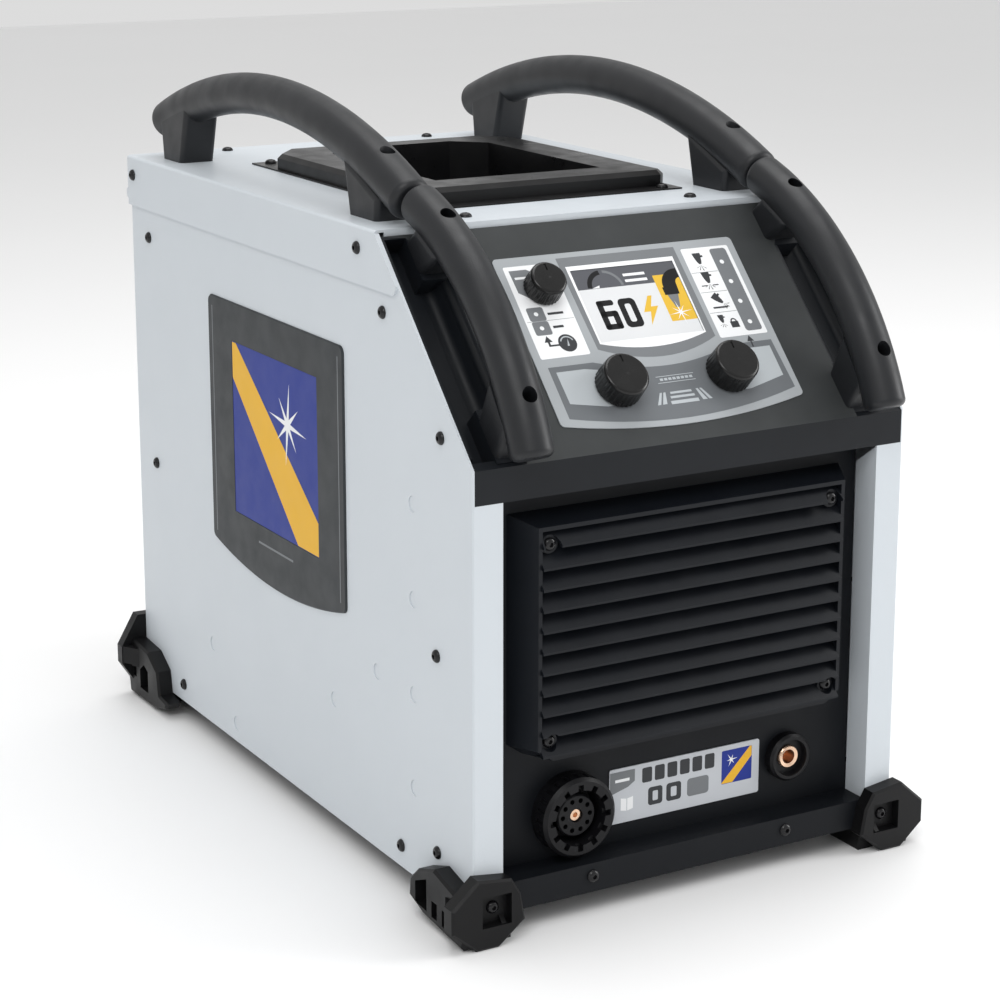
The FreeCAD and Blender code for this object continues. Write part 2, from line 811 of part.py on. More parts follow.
COUNTERBORE = 4.6
TOP_ARC_MIDDLE = 310
TOP_ARC_SWEEP = 453.8
TOP_HANDLE_ENDS = (117, 481)
TOP_HANDLE_HOLES = [(147, 24), (447, 33)]
TOP_HANDLE_FEET = [
    [(139, 0), (175, 0), (183, 34), (138, 14)],
    [(431, 0), (463, 0), (467, 30), (418, 44)],
]
BAR_ARC_MIDDLE = 75
BAR_ARC_HEIGHT = -169.2
BAR_ARC_SWEEP = 204.3
FRONT_HANDLE_ENDS = (-7, 173.5)
FRONT_HANDLE_HOLES = [(21, 27), (147, 21)]
FRONT_HANDLE_FEET = [
    [(6, 0), (33, 0), (43, 25), (10, 20)],
    [(130, 0), (154, 0), (153, 14), (124, 24)],
]


def tube_handle(body, middle, radius, arc, ends, feet, holes):
    """A bent round tube standing on two feet, with a counterbore over each fixing screw."""
    low = middle - radius + 1
    high = middle + radius - 1
    sides = (number(low), number(high))
    for outline in feet:
        add(body, "x", low, high, [outline])
    soften(body, 3.5, lambda item: item.BoundBox.ZLength > 8
           and any(lies_at(item, "x", value) for value in sides))
    bend_tube(body, middle, radius, *arc, *ends)
    soften(body, 4.5, lambda item: isinstance(item.Curve, Part.Circle)
           and abs(item.Curve.Radius - radius.value) < 0.01)
    for along, bottom in holes:
        remove(body, "z", bottom, bottom + 30, circles=[((middle, along), COUNTERBORE)])


def make_top_handle(side):
    body = new_body(f"top_handle_{hand(side)}")
    arc = ((TOP_ARC_MIDDLE, roof - 397.1), TOP_ARC_SWEEP)
    feet = [[(y, roof + up) for y, up in outline] for outline in TOP_HANDLE_FEET]
    holes = [(y, roof + up) for y, up in TOP_HANDLE_HOLES]
    tube_handle(body, side * d["handle_middle"], d["handle_radius"], arc, TOP_HANDLE_ENDS, feet,
                holes)
    return keep(body, f"top_handle_{hand(side)}")


def make_front_handle(side):
    body = new_body(f"front_handle_{hand(side)}")
    arc = ((BAR_ARC_MIDDLE, BAR_ARC_HEIGHT), BAR_ARC_SWEEP)
    tube_handle(body, side * d["bar_middle"], d["bar_radius"], arc, FRONT_HANDLE_ENDS,
                FRONT_HANDLE_FEET, FRONT_HANDLE_HOLES)
    return keep_on_slant(body, f"front_handle_{hand(side)}")


FOOT_POCKET = 6
FOOT_SCREW_IN = 10
FOOT_SCREW_UP = 8
FOOT_CELL_START = 4
FOOT_SHOULDER = 19


# Outline of the lobe over the front or back face, as (distance past the side, height), and of
# the flank along the side, as (distance in from the end of the case, height).
FRONT_LOBE = [(-29, -1.5), (-26, 15), (-20, 25), (2, 28), (19, 13), (19, -1.5), (3, -15),
              (-12, -15)]
REAR_LOBE = [(-29, -1.5), (-27, 30), (-19, 45), (6, 45.5), (19, 23), (19, 10), (3, -15),
             (-12, -15)]
FRONT_FLANK = [(-9, 14), (8, 18.5), (28, 23), (48, 16), (57, 8), (58.5, -4), (40, -10),
               (-6, -14), (-9, -6)]
REAR_FLANK = [(-9, 20), (0, 28), (29, 26), (46, 16), (49, -1), (64, -3), (60, -8), (40, -13),
              (-6, -14), (-9, 0)]
FRONT_CELLS = [[(36, -6), (50, -5), (50, 8), (36, 14)], [(23.5, -7), (30, -7), (30, 3), (23.5, 3)],
               [(12, -8), (17.5, -8), (17.5, 2), (12, 2)]]
REAR_CELLS = [[(14, -5), (29, -5), (29, 11), (22, 14.5), (14, 9)],
              [(1, 1), (7, 1), (7, 11), (1, 11)]]


def make_foot(side, rear):
    """A corner foot: one lobe over the front or back face, one flank along the side."""
    body = new_body(f"foot_{'rear' if rear else 'front'}_{hand(side)}")
    drop = d["foot_drop"]
    edge = half_width
    reach = d["foot_reach"]
    out = d["flank_reach"]
    lobe = REAR_LOBE if rear else FRONT_LOBE
    flank = REAR_FLANK if rear else FRONT_FLANK
    cells = REAR_CELLS if rear else FRONT_CELLS

    def along(distance):
        return depth - distance if rear else distance

    def stretch(near, far):
        """A range of distances in from the end of the case, low coordinate first."""
        return (along(far), along(near)) if rear else (along(near), along(far))

    near, far = span(side, edge, edge + out)
    add(body, "x", near, far, [[(along(inward), up) for inward, up in flank]])
    tip = side * (edge.value + out.value)
    soften(body, 1.6, lambda item: lies_at(item, "x", tip), "Chamfer")
    low, high = stretch(-reach, 0)
    add(body, "y", low, high, [[(side * (edge + past), up) for past, up in lobe]])
    end = number(along(-reach))
    soften(body, 1.4, lambda item: lies_at(item, "y", end), "Chamfer")
    shoulder_low = 10 if rear else -1.5
    shoulder = [(side * edge, along(-1)), (side * (edge + FOOT_SHOULDER), along(-1)),
                (side * (edge + out), along(13)), (side * edge, along(13))]
    add(body, "z", shoulder_low, shoulder_low + 13.5, [shoulder])
    sole_low, sole_high = span(side, edge - 24, edge + 2)
    front, back = stretch(-1, 30)
    add(body, "z", -drop, -0.1, [rectangle((sole_low, front), (sole_high, back))])
    low, high = stretch(-reach, FOOT_POCKET - reach)
    pocket = rectangle((side * (edge - 10) - 9.5, -1.5), (side * (edge - 10) + 9.5, 17))
    remove(body, "y", low, high, [pocket])
    low, high = stretch(-reach, -0.2)
    hole = ((side * (edge - FOOT_SCREW_IN), FOOT_SCREW_UP), SCREW_HOLE)
    remove(body, "y", low, high, circles=[hole])
    floor = FOOT_POCKET - reach.value
    tongue = [(along(floor + 0.5), -2), (along(-reach + 1), -2), (along(floor + 0.5), 3)]
    low, high = span(side, edge - 17, edge - 14)
    add(body, "x", low, high, [tongue])
    near, far = span(side, edge + FOOT_CELL_START, edge + FOOT_SHOULDER)
    for cell in cells:
        remove(body, "x", near, far, [[(along(inward), up) for inward, up in cell]])
    return keep(body, body.Name)


TRAY_SCREWS = [(-84, 168.5), (84, 168.5), (-84, 396.5), (84, 396.5)]


def make_tray():
    body = new_body("accessory_tray")
    add(body, "z", roof, roof + 1, [rectangle((-95, 162), (95, 403))])
    half = d["tray_half"]
    front = d["tray_front"]
    back = d["tray_back"]
    rise = d["tray_rise"]
    frame = [(-half + 5, front), (half - 5, front), (half, front + 5), (half, back - 22),
             (half - 18, back), (-half + 18, back), (-half, back - 22), (-half, front + 5)]
    add(body, "z", roof, roof + rise, [frame])
    top = roof.value + rise.value
    soften(body, 3, lambda item: lies_at(item, "z", top), "Chamfer")
    wall = 2.5
    tub = rectangle((-d["well_half"] - wall, d["well_front"] - wall),
                    (d["well_half"] + wall, d["well_back"] + wall))
    add(body, "z", d["well_floor"] - wall, roof, [tub])
    well = [(-d["well_half"], d["well_front"]), (d["well_half"], d["well_front"]),
            (d["well_half"], d["well_back"] - 20), (d["well_half"] - 20, d["well_back"]),
            (-d["well_half"] + 20, d["well_back"]), (-d["well_half"], d["well_back"] - 20)]
    remove(body, "z", d["well_floor"], roof + rise, [well])
    remove(body, "z", roof, roof + 1, circles=[(spot, SCREW_HOLE) for spot in TRAY_SCREWS])
    return keep(body, "accessory_tray")


# --- back face -------------------------------------------------------------------------------


def make_fan():
    at = (d["fan_across"], d["fan_up"])
    half = d["fan_half"]
    front = 462
    back = depth - 2 * sheet
    frame = new_body("fan_frame")
    add(frame, "y", front, back, [rectangle((-half, -half), (half, half))])
    remove(frame, "y", front, back, circles=[((0, 0), half - 3.5)])
    strut = rectangle((-half + 2, -2), (half - 2, 2))
    add(frame, "y", back - 4, back, [strut])
    add(frame, "y", back - 4, back, [rectangle((-2, -half + 2), (2, half - 2))])
    add(frame, "y", back - 4, back, circles=[((0, 0), 20)])
    remove(frame, "y", back - 4, back - 0.5, circles=[((0, 0), 2 + d["run_gap"])])
    keep_at(frame, "fan_frame", *at)
    rotor = new_body("fan_rotor")
    add(rotor, "y", front + 1, back - 5, circles=[((0, 0), 19)])
    blade = add(rotor, "x", 17, half - 5,
                [[(front + 3, -9), (front + 5, -9), (back.value - 6, 9), (back.value - 8, 9)]])
    around(rotor, blade, "Y_Axis", 7)
    add(rotor, "y", back - 5.5, back - 0.8, circles=[((0, 0), 2)])
    keep_at(rotor, "fan_rotor", *at)
    guard = doc.addObject("Part::MultiFuse", "fan_guard")
    pieces = []
    for index, radius in enumerate((14, 27, 40, 53)):
        hoop = doc.addObject("Part::Torus", f"guard_hoop_{index}")
        hoop.Radius1 = radius
        hoop.Radius2 = 1.1
        hoop.Placement = Placement(Vector(0, number(depth) + 1.6, 0), Rotation(Vector(1, 0, 0), 90))
        pieces.append(hoop)
    for index in range(4):
        spoke = doc.addObject("Part::Box", f"guard_spoke_{index}")
        spoke.Length = 134
        spoke.Width = 3.4
        spoke.Height = 2.2
        turn = Rotation(Vector(0, 1, 0), 45 * index)
        corner = turn.multVec(Vector(-67, 0, -1.1))
        spoke.Placement = Placement(corner + Vector(0, number(depth) - number(sheet), 0), turn)
        pieces.append(spoke)
    guard.Shapes = pieces
    doc.recompute()
    keep_at(guard, "fan_guard", *at)


def make_power_switch():
    plate = new_body("power_switch_plate")
    out = depth - sheet
    add(plate, "y", out, out + 3, [rectangle((-30, -30), (30, 30))])
    soften(plate, 4, lambda item: runs_along(item, "y"))
    add(plate, "y", out - 40, out, circles=[((0, 0), 15.8)])
    remove(plate, "y", out - 8, out + 3, circles=[((0, 0), 4 + d["run_gap"])])
    keep_at(plate, "power_switch_plate", *SWITCH_AT)
    knob = new_body("power_switch_knob")
    add(knob, "y", out + 3.4, out + 9, circles=[((0, 0), 19)])
    add(knob, "y", out + 8.5, out + 20, [rectangle((-5, -18), (5, 18))])
    add(knob, "y", out - 7.5, out + 4, circles=[((0, 0), 4)])
    keep_at(knob, "power_switch_knob", *SWITCH_AT)


def make_gland():
    out = depth - sheet
    bore = d["gland_bore"]
    gland = turned("mains_gland", [
        (bore, out - 14), (12, out - 14), (12, out), (16, out), (16, out + 6), (14, out + 7),
        (13, out + 22), (bore + 1.5, out + 25), (bore, out + 24),
    ])
    keep_at(gland, "mains_gland", *GLAND_AT)


def make_inlet():
    out = depth - sheet
    inlet = turned("air_inlet", [
        (2.5, out - 16), (8, out - 16), (8, out), (11, out), (11, out + 8), (7, out + 9),
        (d["inlet_radius"], out + 10), (d["inlet_radius"], out + 25.5), (4, out + 26.5),
        (2.5, out + 26.5),
    ])
    keep_at(inlet, "air_inlet", *INLET_AT)


# --- inside ----------------------------------------------------------------------------------


def block(name, low, high):
    """A plain box-shaped inner piece."""
    item = doc.addObject("Part::Box", name)
    for path, start, end in zip(("Length", "Width", "Height"), low, high):
        setattr(item, path, number(end) - number(start))
    shift = (low[0], low[1] - middle_y, low[2] + d["foot_drop"])
    item.Label = name
    place(item, shift)
    parts.append(item)
    return item


def make_insides():
    floor = sheet
    block("divider_plate", (0, 130, floor), (sheet, 455, 330))
    block("power_board", (-1.6, 150, 110), (0, 400, 300))
    block("main_transformer", (-120, 150, floor), (-30, 250, 100))
    block("output_inductor", (-110, 290, floor), (-40, 370, 80))
    inlet_end = depth - sheet - 16
    block("air_regulator", (-110, inlet_end - 50, 110), (-60, inlet_end, 170))
    body = new_body("heatsink")
    add(body, "x", sheet, sheet + 8, [rectangle((140, 60), (420, 280))])
    fins = [rectangle((sheet + 7, 64 + 18 * row), (sheet + 55, 67 + 18 * row))
            for row in range(12)]
    add(body, "y", 140, 420, fins)
    keep(body, "heatsink")
    can = new_body("bulk_capacitor")
    add(can, "x", -50, -1.6, circles=[((330, 200), 22)])
    keep(can, "bulk_capacitor")


# --- screws ----------------------------------------------------------------------------------


def screw_shape(length):
    """A button-head screw with a six-sided socket, head up, seated at z = 0."""
    radius = d["screw_radius"].value
    head = 2.4
    profile = Part.Wire([
        Part.LineSegment(Vector(0, 0, -length), Vector(d["screw_shank"].value, 0, -length)).toShape(),
        Part.LineSegment(Vector(d["screw_shank"].value, 0, -length),
                         Vector(d["screw_shank"].value, 0, 0)).toShape(),
        Part.LineSegment(Vector(d["screw_shank"].value, 0, 0), Vector(radius, 0, 0)).toShape(),
        Part.LineSegment(Vector(radius, 0, 0), Vector(radius, 0, 0.6)).toShape(),
        Part.Arc(Vector(radius, 0, 0.6), Vector(radius * 0.72, 0, head * 0.83),
                 Vector(radius * 0.3, 0, head)).toShape(),
        Part.LineSegment(Vector(radius * 0.3, 0, head), Vector(0, 0, head)).toShape(),
        Part.LineSegment(Vector(0, 0, head), Vector(0, 0, -length)).toShape(),
    ])
    solid = Part.Face(profile).revolve(Vector(0, 0, 0), Vector(0, 0, 1), 360)
    corners = [Vector(1.5 * math.cos(math.radians(60 * row)), 1.5 * math.sin(math.radians(60 * row)), 1)
               for row in range(7)]
    socket = Part.Face(Part.makePolygon(corners)).extrude(Vector(0, 0, 3))
    return solid.cut(socket)


def make_screws(name, spots, length=6):
    """One node of separate screws. Each spot is a seat point and an outward direction."""
    shapes = []
    for seat, outward in spots:
        screw = screw_shape(length)
        turn = Rotation(Vector(0, 0, 1), Vector(*outward))
        screw.Placement = Placement(Vector(*[number(value) for value in seat]), turn)
        shapes.append(screw)
    item = doc.addObject("Part::Feature", name)
    item.Shape = Part.makeCompound(shapes)
    return keep(item, name)


def make_all_screws():
    for side in (-1, 1):
        out = (side, 0, 0)
        seats = [((side * half_width, y, z), out) for y, z in SIDE_SCREWS]
        seats += [((side * (half_width + sheet), y, z), out) for y, z in SKIRT_SCREWS]
        make_screws(f"side_screws_{hand(side)}", seats, 1.4)
    seats = [((x, y, roof), (0, 0, 1)) for x, y in COVER_SCREWS]
    seats += [((x, y, roof + 1), (0, 0, 1)) for x, y in TRAY_SCREWS]
    make_screws("top_screws", seats)
    make_screws("grille_screws", [((x, GRILLE_SEAT, z), (0, -1, 0)) for x, z in GRILLE_SCREWS])
    base = [((side * BASE_SCREW_ACROSS, 0, BASE_SCREW_UP), (0, -1, 0)) for side in (-1, 1)]
    for side in (-1, 1):
        across = side * (half_width - FOOT_SCREW_IN)
        base.append(((across, FOOT_POCKET - d["foot_reach"], FOOT_SCREW_UP), (0, -1, 0)))
        base.append(((across, depth + d["foot_reach"] - FOOT_POCKET, FOOT_SCREW_UP), (0, 1, 0)))
    make_screws("base_screws", base, 3.5)
    make_screws("rear_screws", [((x, depth - sheet, z), (0, 1, 0)) for x, z in REAR_SCREWS])


# --- build and write -------------------------------------------------------------------------


def build():
    make_base_tray()
    make_rear_panel()
    make_top_cover()
    make_control_bezel()
    make_control_label()
    make_display()
    for name, (across, along, radius, height) in KNOBS.items():
        make_knob(name, across, along, radius, height)
    make_front_panel()
    make_grille()
    make_torch_socket()
    make_earth_socket()
    make_name_plate()
    make_tray()
    for side in (-1, 1):
        make_side_panel(side)
        make_badge(side)
        make_top_handle(side)
        make_front_handle(side)
        make_foot(side, False)
        make_foot(side, True)
    make_fan()
    make_power_switch()
    make_gland()
    make_inlet()
    make_insides()
    make_all_screws()


def check():
    """Stop if any object failed or any sub-part is not a valid shape."""
    doc.recompute()
    for item in doc.Objects:
        bad = {"Invalid", "Error"} & set(item.State)
        assert not bad, f"{item.Name} is {bad}"
    for item in parts:
        assert not item.Shape.isNull(), f"{item.Label} is empty"
        assert item.Shape.isValid(), f"{item.Label} is not valid"


def write():
    os.makedirs("parts", exist_ok=True)
    for item in parts:
        item.Shape.exportStep(f"parts/{item.Label}.step")
    print(f"{len(parts)} sub-parts written")


build()
check()
write()
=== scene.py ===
import json
import math

import bmesh
import bpy
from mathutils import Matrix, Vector, geometry


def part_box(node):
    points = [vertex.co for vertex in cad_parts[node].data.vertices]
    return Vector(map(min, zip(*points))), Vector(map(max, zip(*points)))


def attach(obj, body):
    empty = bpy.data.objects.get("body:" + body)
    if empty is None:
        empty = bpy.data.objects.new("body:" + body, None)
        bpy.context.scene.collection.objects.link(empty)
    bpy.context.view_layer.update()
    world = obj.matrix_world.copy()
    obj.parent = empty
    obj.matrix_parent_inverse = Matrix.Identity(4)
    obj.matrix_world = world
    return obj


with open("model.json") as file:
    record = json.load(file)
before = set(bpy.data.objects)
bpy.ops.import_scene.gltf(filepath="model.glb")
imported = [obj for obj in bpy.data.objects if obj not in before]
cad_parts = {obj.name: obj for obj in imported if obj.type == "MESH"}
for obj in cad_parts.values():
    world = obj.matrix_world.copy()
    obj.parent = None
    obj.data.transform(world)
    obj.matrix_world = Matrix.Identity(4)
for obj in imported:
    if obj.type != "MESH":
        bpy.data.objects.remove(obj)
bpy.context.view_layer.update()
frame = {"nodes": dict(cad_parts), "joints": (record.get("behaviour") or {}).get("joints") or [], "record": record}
NODES = frame["nodes"]
MM = 0.001
CASE = "case"


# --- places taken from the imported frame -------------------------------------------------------


def joint(name):
    return [item for item in frame["joints"] if item["name"] == name][0]


# The slanted control face: x across, s up the slope and h outward, in millimetres from its
# bottom edge. Its place comes from the turning axis of the current knob.
OUTWARD = Vector(joint("current_knob_turn")["axis"]).normalized()
ACROSS = Vector((1.0, 0.0, 0.0))
UPWARD = OUTWARD.cross(ACROSS)
KNOB_SEAT = (-38.4, 40.5, 5.0)
FASCIA_HALF = 115
LABEL_FACE = 0.6
PANE_FACE = 0.3


def slant_frame():
    seat = Vector(joint("current_knob_turn")["pos_m"])
    x, s, h = [value * MM for value in KNOB_SEAT]
    return seat - ACROSS * x - UPWARD * s - OUTWARD * h


SLANT = slant_frame()


def on_slant(x, s, h):
    return SLANT + ACROSS * (x * MM) + UPWARD * (s * MM) + OUTWARD * (h * MM)


# The name plate: x across and z up in the case's own millimetres, from its lower left corner.
PLATE_LEFT = -46
PLATE_LOW = 29.5


def on_name_plate(x, z, height):
    left, front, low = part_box("name_plate")[0]
    return Vector((left + (x - PLATE_LEFT) * MM, front - height * MM, low + (z - PLATE_LOW) * MM))


# --- node materials ---------------------------------------------------------------------------


class Shader:
    """A node material on the Principled shader, in object coordinates in metres."""

    def __init__(self, name, colour, roughness, metallic=0.0):
        self.material = bpy.data.materials.new(name)
        self.material.use_nodes = True
        self.tree = self.material.node_tree
        self.base = self.tree.nodes["Principled BSDF"]
        self.colour = tuple(colour) + (1.0,)
        self.roughness = roughness
        self.base.inputs["Base Color"].default_value = self.colour
        self.base.inputs["Roughness"].default_value = roughness
        self.base.inputs["Metallic"].default_value = metallic
        self.place = self.node("ShaderNodeTexCoord").outputs["Object"]

    def node(self, kind, **settings):
        item = self.tree.nodes.new(kind)
        for key, value in settings.items():
            setattr(item, key, value)
        return item

    def link(self, output, item, socket):
        self.tree.links.new(output, item.inputs[socket])

    def noise(self, scale, detail=3.0, stretch=None):
        """Noise with a feature size of about 1/scale metres, stretched if asked."""
        texture = self.node("ShaderNodeTexNoise")
        texture.inputs["Scale"].default_value = scale
        texture.inputs["Detail"].default_value = detail
        source = self.place
        if stretch is not None:
            mapping = self.node("ShaderNodeMapping")
            mapping.inputs["Scale"].default_value = stretch
            self.link(source, mapping, "Vector")
            source = mapping.outputs["Vector"]
        self.link(source, texture, "Vector")
        return texture.outputs["Fac"]

    def spread(self, value, low, high, start=0.3, end=0.7):
        """Map a 0..1 texture onto a range."""
        item = self.node("ShaderNodeMapRange")
        item.inputs["From Min"].default_value = start
        item.inputs["From Max"].default_value = end
        item.inputs["To Min"].default_value = low
        item.inputs["To Max"].default_value = high
        self.link(value, item, "Value")
        return item.outputs["Result"]

    def vary_colour(self, scale, amount, detail=4.0):
        """Let the colour drift lighter and darker across the surface."""
        mix = self.node("ShaderNodeMix", data_type="RGBA")
        light = tuple(min(1.0, part * (1 + amount)) for part in self.colour[:3]) + (1.0,)
        dark = tuple(part * (1 - amount) for part in self.colour[:3]) + (1.0,)
        mix.inputs["A"].default_value = dark
        mix.inputs["B"].default_value = light
        self.link(self.spread(self.noise(scale, detail), 0, 1), mix, "Factor")
        self.link(mix.outputs["Result"], self.base, "Base Color")
        return self

    def vary_roughness(self, scale, amount, detail=4.0):
        value = self.spread(self.noise(scale, detail), self.roughness - amount,
                            self.roughness + amount)
        self.link(value, self.base, "Roughness")
        return self

    def bump(self, *layers):
        """Stack bump layers of (height output, strength, distance in metres)."""
        normal = None
        for height, strength, distance in layers:
            item = self.node("ShaderNodeBump")
            item.inputs["Strength"].default_value = strength
            item.inputs["Distance"].default_value = distance
            self.link(height, item, "Height")
            if normal is not None:
                self.link(normal, item, "Normal")
            normal = item.outputs["Normal"]
        self.link(normal, self.base, "Normal")
        return self

    def set(self, socket, value):
        self.base.inputs[socket].default_value = value
        return self


def powder_coat(name, colour, roughness, shine=0.5):
    """Satin powder coat: a fine orange peel, with slight drift in tone and gloss."""
    coat = Shader(name, colour, roughness)
    coat.set("Specular IOR Level", shine)
    coat.vary_colour(6.0, 0.012)
    coat.vary_roughness(30.0, 0.05)
    coat.bump((coat.noise(420.0, 3.0), 0.10, 0.0004), (coat.noise(2600.0, 2.0), 0.05, 0.0001))
    return coat.material


def moulded(name, colour, roughness, grain_size=0.0005, depth=0.35, shine=0.22):
    """Moulded plastic with an etched grain and scuffed, uneven gloss."""
    plastic = Shader(name, colour, roughness)
    plastic.set("Specular IOR Level", shine)
    plastic.vary_colour(35.0, 0.1)
    plastic.vary_roughness(60.0, 0.07)
    plastic.bump((plastic.noise(1 / grain_size, 2.0), depth, 0.00012),
                 (plastic.noise(60.0, 2.0), 0.05, 0.0008))
    return plastic.material


def gloss_plastic(name, colour, roughness=0.22):
    plastic = Shader(name, colour, roughness)
    plastic.vary_colour(40.0, 0.08)
    plastic.vary_roughness(90.0, 0.05)
    plastic.bump((plastic.noise(140.0, 2.0), 0.05, 0.0004))
    plastic.set("Specular IOR Level", 0.3)
    plastic.set("Coat Weight", 0.12)
    plastic.set("Coat Roughness", 0.12)
    return plastic.material


def metal(name, colour, roughness, stretch=(1.0, 1.0, 1.0)):
    """Machined or rolled metal with fine drawn marks."""
    surface = Shader(name, colour, roughness, metallic=1.0)
    surface.vary_colour(60.0, 0.06)
    surface.vary_roughness(120.0, 0.08)
    surface.bump((surface.noise(900.0, 3.0, stretch), 0.12, 0.0001))
    return surface.material


def ink(name, colour, roughness=0.42):
    """Printed ink under a satin film."""
    surface = Shader(name, colour, roughness)
    surface.set("Specular IOR Level", 0.2)
    surface.vary_colour(25.0, 0.02)
    surface.vary_roughness(70.0, 0.05)
    surface.bump((surface.noise(1500.0, 2.0), 0.06, 0.00006))
    return surface.material


def lit(name, colour, strength):
    """A lit area of the display."""
    surface = Shader(name, colour, 0.3)
    surface.vary_colour(50.0, 0.01)
    surface.set("Emission Color", tuple(colour) + (1.0,))
    surface.set("Emission Strength", strength)
    return surface.material


PANEL = powder_coat("panel_paint", (0.56, 0.6, 0.635), 0.4)
DARK = powder_coat("dark_paint", (0.0045, 0.0055, 0.0075), 0.5, 0.18)
BEZEL = moulded("bezel_plastic", (0.007, 0.0085, 0.011), 0.42)
FASCIA = moulded("fascia_plastic", (0.036, 0.039, 0.04), 0.45)
HANDLE = moulded("handle_plastic", (0.0115, 0.0125, 0.0145), 0.42, 0.0007, 0.6, 0.36)
FOOT = moulded("foot_plastic", (0.0045, 0.0045, 0.005), 0.42)
TRAY = moulded("tray_plastic", (0.005, 0.005, 0.0055), 0.34, 0.0006, 0.5, 0.3)
GRILLE = moulded("grille_plastic", (0.0055, 0.0068, 0.0095), 0.4)
KNOB = gloss_plastic("knob_plastic", (0.006, 0.006, 0.006), 0.24)
SOCKET = moulded("socket_plastic", (0.005, 0.005, 0.006), 0.4)
BRASS = metal("brass", (0.83, 0.58, 0.42), 0.28)
STEEL = metal("steel", (0.5, 0.5, 0.52), 0.35)
ALUMINIUM = metal("aluminium", (0.6, 0.61, 0.62), 0.4, (1.0, 0.05, 1.0))
SCREW = gloss_plastic("screw_black", (0.006, 0.006, 0.007), 0.28)
BOARD = gloss_plastic("circuit_board", (0.01, 0.09, 0.03), 0.35)
WINDING = gloss_plastic("winding", (0.25, 0.12, 0.04), 0.35)
BADGE = moulded("badge_charcoal", (0.03, 0.034, 0.037), 0.42, 0.0006, 0.2, 0.2)
LABEL_EDGE = ink("label_edge", (0.335, 0.355, 0.37))
PLATE = ink("plate_face", (0.5, 0.52, 0.55))
MID_GREY = ink("ink_mid_grey", (0.17, 0.18, 0.19))
DEEP_GREY = ink("ink_deep_grey", (0.135, 0.145, 0.155))
PALE = ink("ink_pale_grey", (0.42, 0.45, 0.47))
WHITE = ink("ink_white", (0.8, 0.81, 0.82))
BLACK = ink("ink_black", (0.008, 0.008, 0.009))
CHARCOAL = ink("ink_charcoal", (0.04, 0.042, 0.046))
BLUE = ink("ink_blue", (0.016, 0.034, 0.24))
AMBER = ink("ink_amber", (0.75, 0.42, 0.03))
SCREEN = lit("screen_light", (0.62, 0.63, 0.64), 0.06)
SCREEN_BAND = lit("screen_band", (0.075, 0.078, 0.09), 0.05)
SCREEN_AMBER = lit("screen_amber", (0.66, 0.41, 0.03), 0.05)

PAINT = {
    "panel_paint": PANEL, "dark_paint": DARK, "bezel_plastic": BEZEL, "handle_plastic": HANDLE,
    "foot_plastic": FOOT, "tray_plastic": TRAY, "label_film": LABEL_EDGE, "window_glass": DARK,
    "module_dark": SOCKET, "circuit_board": BOARD, "knob_plastic": KNOB, "steel": STEEL,
    "socket_plastic": SOCKET, "brass": BRASS, "plate_silver": PLATE, "badge_charcoal": BADGE,
    "badge_print": BLUE, "aluminium": ALUMINIUM, "inner_steel": STEEL, "winding": WINDING,
    "capacitor_can": KNOB, "screw_black": SCREW,
}


def paint(piece, *materials):
    piece.data.materials.clear()
    for material in materials:
        piece.data.materials.append(material)


def dress_frame():
    """Give every carried-over CAD node its finish, smooth shading and softened edges."""
    for entry in frame["record"]["subparts"]:
        node = NODES[entry["node"]]
        paint(node, PAINT[entry["material_slot"]])
        node.data.shade_smooth()
        node.data.set_sharp_from_angle(angle=math.radians(32))
    paint(NODES["louvre_grille"], GRILLE)
    bezel = NODES["control_bezel"]
    bezel.data.materials.append(FASCIA)
    for face in bezel.data.polygons:
        if face.normal.dot(OUTWARD) > 0.99 and abs(face.center.x) < FASCIA_HALF * MM:
            face.material_index = 1


# --- printed artwork --------------------------------------------------------------------------


def arc(centre, radius, start, end, steps=16):
    """Points round a circle between two angles in degrees."""
    points = []
    for index in range(steps + 1):
        angle = math.radians(start + (end - start) * index / steps)
        points.append((centre[0] + radius * math.cos(angle), centre[1] + radius * math.sin(angle)))
    return points


def disc(centre, radius):
    return arc(centre, radius, 0, 360, 24)[:-1]


def bar(x0, y0, x1, y1, corner=0.0):
    """A rectangle, with rounded corners if asked."""
    if corner == 0.0:
        return [(x0, y0), (x1, y0), (x1, y1), (x0, y1)]
    points = []
    for x, y, start in ((x1, y0, 270), (x1, y1, 0), (x0, y1, 90), (x0, y0, 180)):
        middle = (x + (corner if x == x0 else -corner), y + (corner if y == y0 else -corner))
        points += arc(middle, corner, start, start + 90, 5)
    return points


def curve(first, through, last, steps=14):
    """Points on a smooth sagging line through three points, by x."""
    points = []
    for index in range(steps + 1):
        x = first[0] + (last[0] - first[0]) * index / steps
        a = (x - through[0]) * (x - last[0]) / ((first[0] - through[0]) * (first[0] - last[0]))
        b = (x - first[0]) * (x - last[0]) / ((through[0] - first[0]) * (through[0] - last[0]))
        c = (x - first[0]) * (x - through[0]) / ((last[0] - first[0]) * (last[0] - through[0]))
        points.append((x, a * first[1] + b * through[1] + c * last[1]))
    return points


def add_plate(shape, rings, low, high, spot):
    """Add one thin plate to a mesh: an outline, with holes after it, between two heights."""
    layers = []
    for height in (low, high):
        layers.append([[shape.verts.new(spot(x, y, height)) for x, y in ring] for ring in rings])
    flat = [vert for ring in layers[0] for vert in ring]
    raised = [vert for ring in layers[1] for vert in ring]
    triangles = geometry.tessellate_polygon([[Vector((x, y, 0.0)) for x, y in ring]
                                             for ring in rings])
    for triangle in triangles:
        shape.faces.new([raised[index] for index in triangle])
        shape.faces.new([flat[index] for index in reversed(triangle)])
    for below, above in zip(layers[0], layers[1]):
        for index in range(len(below)):
            after = (index + 1) % len(below)
            shape.faces.new([below[index], below[after], above[after], above[index]])


